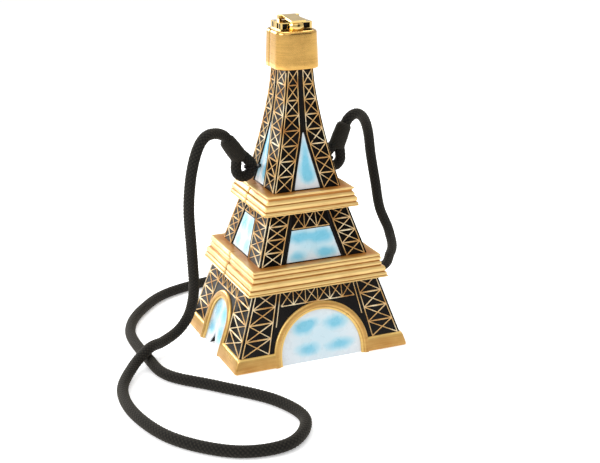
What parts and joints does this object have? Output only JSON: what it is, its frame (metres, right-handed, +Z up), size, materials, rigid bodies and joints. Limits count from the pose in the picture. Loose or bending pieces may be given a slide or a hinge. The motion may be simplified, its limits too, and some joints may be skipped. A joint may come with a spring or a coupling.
{
  "type": "tower-shaped evening bag",
  "caption": "Hard-shell evening bag shaped as a black and gold lattice tower, standing on its base, opening on a bottom hinge, with a lever clasp on the cap and a black cord strap.",
  "frame": {"origin": "middle of the foot, on the surface that the bag stands on", "axes": "+Z up the tower, +X to the right along the front face, the front looks along -Y"},
  "size_m": [0.2695, 0.3016, 0.2432],
  "materials": {
    "black_enamel": "glossy black enamel with raised gold lines",
    "gilt_moulding": "pale gilt, brushed, darker in the grooves",
    "satin_gold": "satin gold plating on moulded plastic",
    "polished_gold": "polished gold plating",
    "window_enamel": "white and pale blue enamel under clear gloss",
    "lining_cloth": "black satin-weave lining",
    "brass_hardware": "plain turned brass",
    "braided_cord": "round braided black cord"
  },
  "bodies": {
    "back_half": {"back_shell": "black_enamel", "back_base_trim": "satin_gold", "back_lower_moulding": "gilt_moulding", "back_upper_moulding": "gilt_moulding", "back_cap": "satin_gold", "back_lining": "lining_cloth", "back_arch_window": "window_enamel", "back_middle_window": "window_enamel", "back_upper_window": "window_enamel", "back_left_arch_window": "window_enamel", "back_left_middle_window": "window_enamel", "back_left_upper_window": "window_enamel", "back_right_arch_window": "window_enamel", "back_right_middle_window": "window_enamel", "back_right_upper_window": "window_enamel", "left_hinge_back_leaf": "brass_hardware", "right_hinge_back_leaf": "brass_hardware", "left_hinge_pin": "brass_hardware", "right_hinge_pin": "brass_hardware", "back_hinge_screws": "brass_hardware", "back_clasp_bar": "polished_gold", "clasp_pin": "brass_hardware", "back_clasp_screws": "brass_hardware", "left_strap_eye": "black_enamel", "right_strap_eye": "black_enamel", "shoulder_cord": "braided_cord", "left_cord_loop": "braided_cord", "right_cord_loop": "braided_cord", "left_cord_whipping": "braided_cord", "right_cord_whipping": "braided_cord"},
    "front_half": {"front_shell": "black_enamel", "front_base_trim": "satin_gold", "front_lower_moulding": "gilt_moulding", "front_upper_moulding": "gilt_moulding", "front_cap": "satin_gold", "front_lining": "lining_cloth", "front_arch_window": "window_enamel", "front_middle_window": "window_enamel", "front_upper_window": "window_enamel", "front_left_arch_window": "window_enamel", "front_left_middle_window": "window_enamel", "front_left_upper_window": "window_enamel", "front_right_arch_window": "window_enamel", "front_right_middle_window": "window_enamel", "front_right_upper_window": "window_enamel", "left_hinge_front_leaf": "brass_hardware", "right_hinge_front_leaf": "brass_hardware", "front_hinge_screws": "brass_hardware", "front_clasp_bar": "polished_gold", "front_clasp_screws": "brass_hardware"},
    "clasp_lever": {"clasp_lever": "polished_gold"}
  },
  "joints": [
    {"name": "bottom_hinge", "type": "hinge", "parent": "back_half", "child": "front_half", "pos_m": [0, 0.003, 0.01], "axis": [1, 0, 0], "range_deg": [0, 65]},
    {"name": "lever_hinge", "type": "hinge", "parent": "back_half", "child": "clasp_lever", "pos_m": [0, 0.00615, 0.2414], "axis": [-1, 0, 0], "range_deg": [0, 110]}
  ]
}
